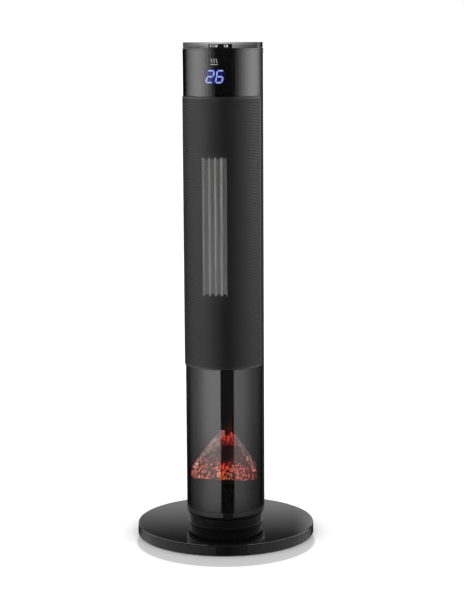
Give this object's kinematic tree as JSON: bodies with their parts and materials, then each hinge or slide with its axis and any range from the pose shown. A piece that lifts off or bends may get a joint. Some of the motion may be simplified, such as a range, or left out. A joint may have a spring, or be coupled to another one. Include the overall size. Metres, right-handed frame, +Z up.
{
  "type": "ceramic tower heater",
  "caption": "Slim tower ceramic heater on a round swing base, with a perforated outlet grille, a smoked flame-effect window, a glossy display head and push keys in a raised top.",
  "frame": {"origin": "centre of the round base at floor level, on the tower's swing axis", "axes": "+Z up along the tower, -Y towards the front (grille and window), +X to the heater's left as it faces the room"},
  "size_m": [0.3, 0.3, 0.83],
  "materials": {
    "gloss_black": "high gloss moulded black",
    "satin_grey": "satin dark grey",
    "satin_black": "fine satin texture, black",
    "smoked_glass": "smoked, see-through",
    "grille_grey": "perforated sheet, dark grey coat",
    "brushed_trim": "brushed grey metal look",
    "silver_key": "bright plated",
    "rubber": "matte",
    "steel": "plain zinc",
    "aluminium_core": "mill finish",
    "heatproof_cream": "heatproof moulding",
    "white_acetal": "natural acetal",
    "circuit_green": "solder mask",
    "display_dark": "dark display face, lit digits",
    "relay_blue": "moulded blue",
    "diffuser": "translucent, lit",
    "ember_resin": "glowing ember casting",
    "log_resin": "log-effect casting"
  },
  "bodies": {
    "base": {"base_front_half": "gloss_black", "base_rear_half": "gloss_black", "base_bottom_cover": "satin_black", "foot_front_left": "rubber", "foot_front_right": "rubber", "foot_rear_left": "rubber", "foot_rear_right": "rubber", "base_screw_1": "steel", "base_screw_2": "steel", "base_screw_3": "steel", "base_screw_4": "steel", "neck": "satin_grey", "bearing_ring": "white_acetal", "sector_gear": "white_acetal"},
    "tower": {"tower_base_ring": "satin_grey", "spigot_nut": "white_acetal", "rear_housing": "satin_black", "front_frame": "satin_black", "smoked_window": "smoked_glass", "mesh_grille": "grille_grey", "head_panel": "gloss_black", "top_deck": "gloss_black", "top_cap": "gloss_black", "key_bezel": "brushed_trim", "key_guide": "satin_black", "ir_lens": "smoked_glass", "key_board": "circuit_green", "inlet_grille": "satin_black", "cord_gland": "rubber", "switch_body": "satin_black", "swing_motor": "steel", "tilt_switch": "satin_black", "ember_deck": "satin_black", "ember_bed": "ember_resin", "log_left": "log_resin", "log_right": "log_resin", "flame_screen": "diffuser", "led_strip": "circuit_green", "rotor_motor": "steel", "chamber_lid": "satin_black", "fan_motor": "steel", "duct_bottom_plate": "satin_black", "duct_top_plate": "satin_black", "duct_scroll": "satin_black", "duct_tongue": "satin_black", "fan_bearing": "rubber", "ptc_frame": "heatproof_cream", "ptc_core": "aluminium_core", "thermal_cutout": "steel", "head_plate": "satin_black", "display_board": "circuit_green", "led_display": "display_dark", "control_board": "circuit_green", "heater_relay": "relay_blue"},
    "fan": {"fan_wheel": "satin_black"},
    "flame_spindle": {"flame_rotor": "aluminium_core"},
    "pinion": {"swing_pinion": "white_acetal"},
    "power_button": {"power_key": "silver_key"},
    "mode_button": {"mode_key": "silver_key"},
    "main_rocker": {"rocker": "gloss_black"}
  },
  "joints": [
    {"name": "tower_swing", "type": "hinge", "parent": "base", "child": "tower", "pos_m": [0, 0, 0.0345], "axis": [0, 0, 1], "range_deg": [-35, 35]},
    {"name": "pinion_spin", "type": "hinge", "parent": "tower", "child": "pinion", "pos_m": [0, 0.03, 0.0369], "axis": [0, 0, 1], "range_deg": [-141, 141]},
    {"name": "fan_spin", "type": "hinge", "parent": "tower", "child": "fan", "pos_m": [-0.0005, -0.00356, 0.5291], "axis": [0, 0, 1], "continuous": true},
    {"name": "flame_rotor_spin", "type": "hinge", "parent": "tower", "child": "flame_spindle", "pos_m": [0, 0.02, 0.1145], "axis": [1, 0, 0], "continuous": true},
    {"name": "power_key_press", "type": "slide", "parent": "tower", "child": "power_button", "axis": [0, 1, 0], "range_m": [0, 0.0012], "stiffness_N_per_m": 800, "springref_m": -0.0005},
    {"name": "mode_key_press", "type": "slide", "parent": "tower", "child": "mode_button", "axis": [0, 1, 0], "range_m": [0, 0.0012], "stiffness_N_per_m": 800, "springref_m": -0.0005},
    {"name": "main_rocker_tilt", "type": "hinge", "parent": "tower", "child": "main_rocker", "pos_m": [0, 0.0659, 0.1293], "axis": [1, 0, 0], "range_deg": [-18, 0]}
  ],
  "couplings": [
    {"joint": "pinion_spin", "follows": "tower_swing", "ratio": 4}
  ]
}
